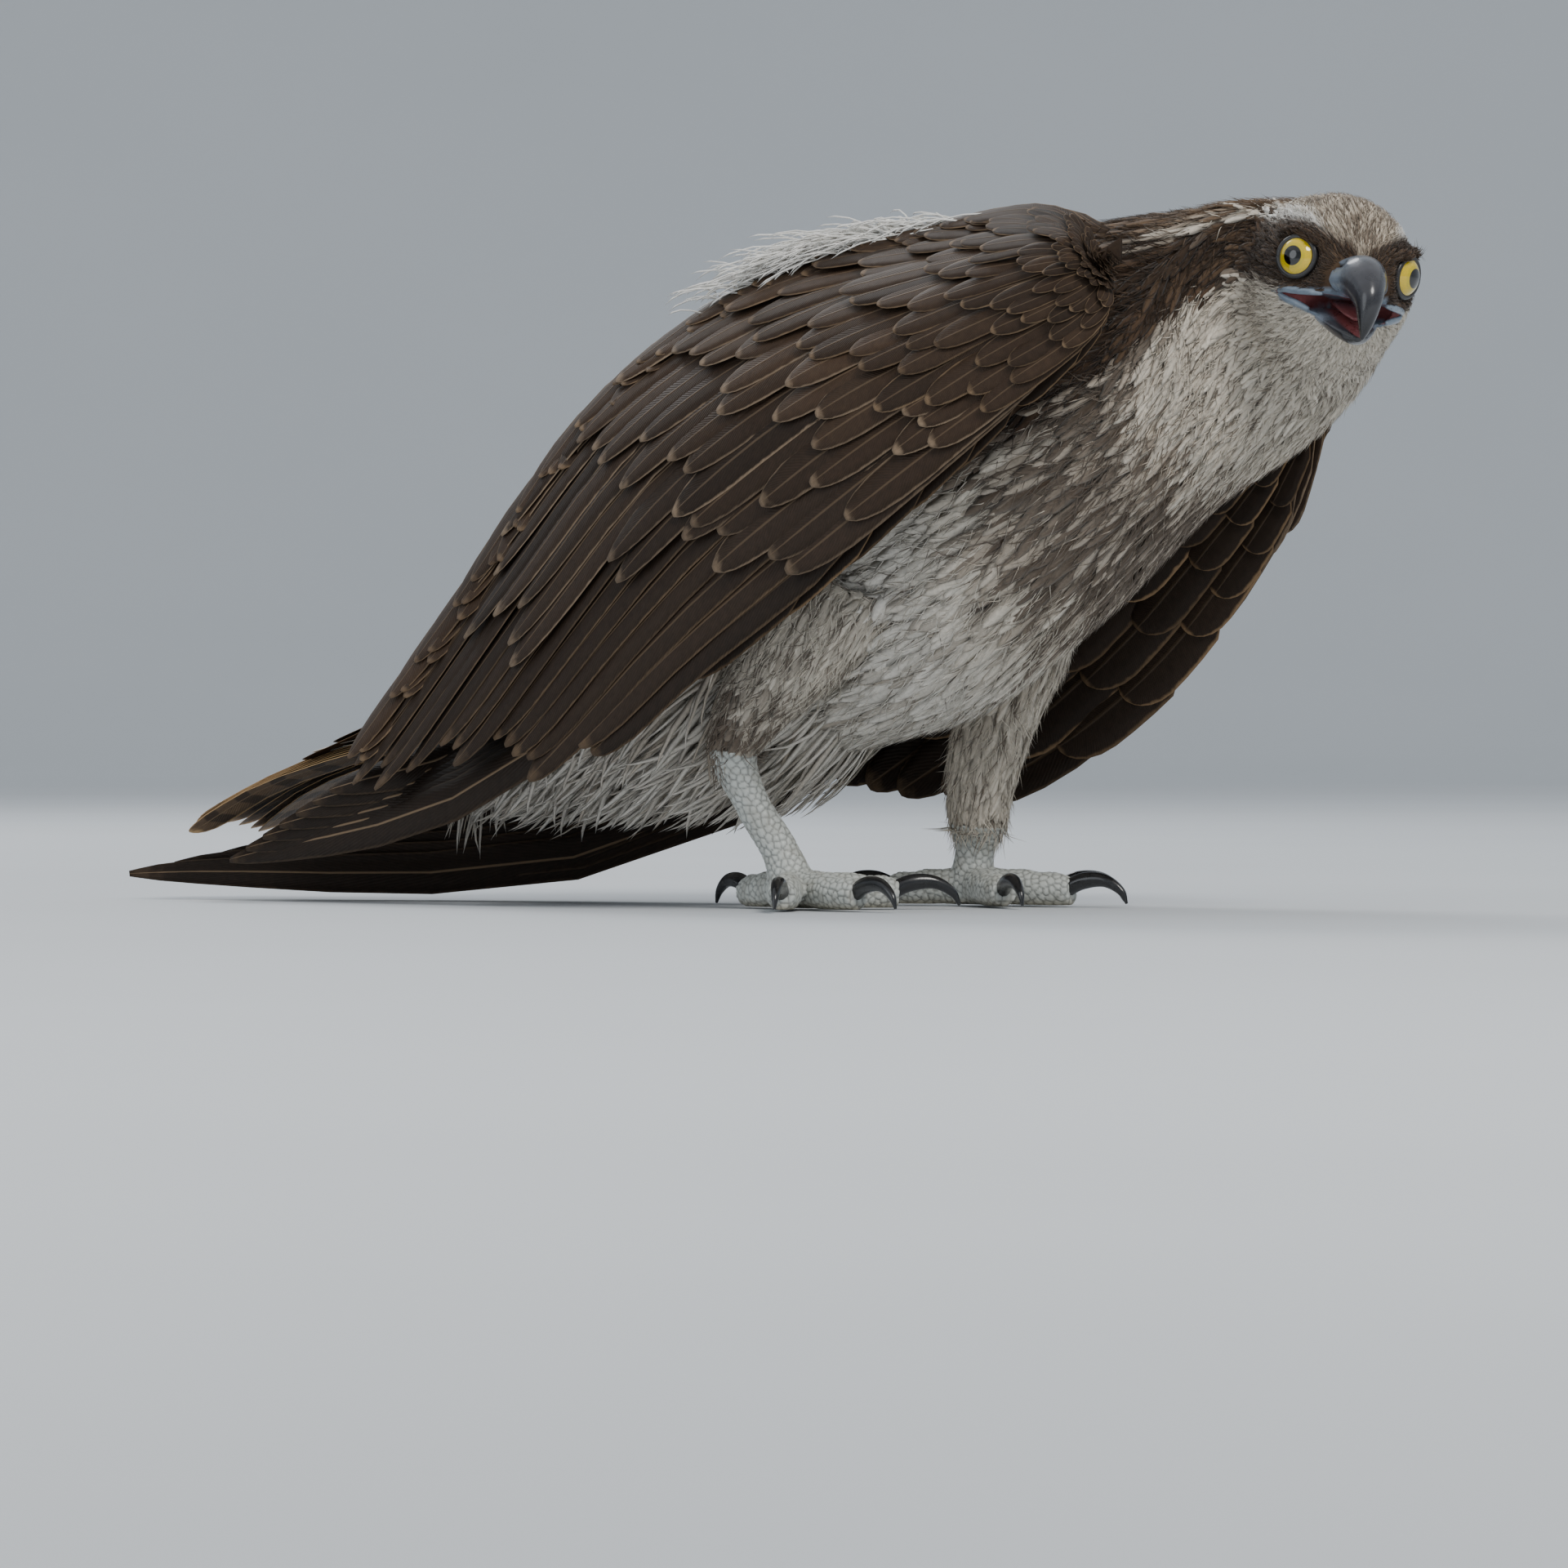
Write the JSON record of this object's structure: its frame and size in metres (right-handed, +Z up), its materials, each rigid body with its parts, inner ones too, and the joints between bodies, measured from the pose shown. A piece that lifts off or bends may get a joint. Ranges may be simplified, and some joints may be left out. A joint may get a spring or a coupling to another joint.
{
  "type": "osprey",
  "caption": "Life-size standing osprey, a still model, leaning forward with its head turned, its bill open and its wings drooped beside the tail.",
  "frame": {"origin": "on the floor plane, under the middle of the bird's bounding box", "axes": "+Z up; the bird's body points along -Y, its left side is +X; its length lies along Y"},
  "size_m": [0.2126, 0.5554, 0.2568],
  "materials": {
    "pale_plumage": "soft cream-white feathers with brown streaks",
    "dark_plumage": "dark brown flight feathers with narrow buff edges",
    "horn": "slate-black horn with a soft gloss",
    "iris": "wet yellow eye with a black pupil",
    "mouth": "moist pink tongue",
    "scales": "pale blue-grey scaly skin"
  },
  "bodies": {
    "root": {"torso": "pale_plumage", "neck": "pale_plumage", "head": "pale_plumage", "bill_upper": "horn", "bill_lower": "horn", "tongue": "mouth", "eye_right": "iris", "eye_left": "iris", "thigh_right": "pale_plumage", "tarsus_right": "scales", "foot_right": "scales", "claw_right_1": "horn", "claw_right_2": "horn", "claw_right_3": "horn", "claw_right_4": "horn", "thigh_left": "pale_plumage", "tarsus_left": "scales", "foot_left": "scales", "claw_left_1": "horn", "claw_left_2": "horn", "claw_left_3": "horn", "claw_left_4": "horn", "tail": "dark_plumage", "wing_right": "dark_plumage", "wing_left": "dark_plumage"}
  },
  "joints": []
}
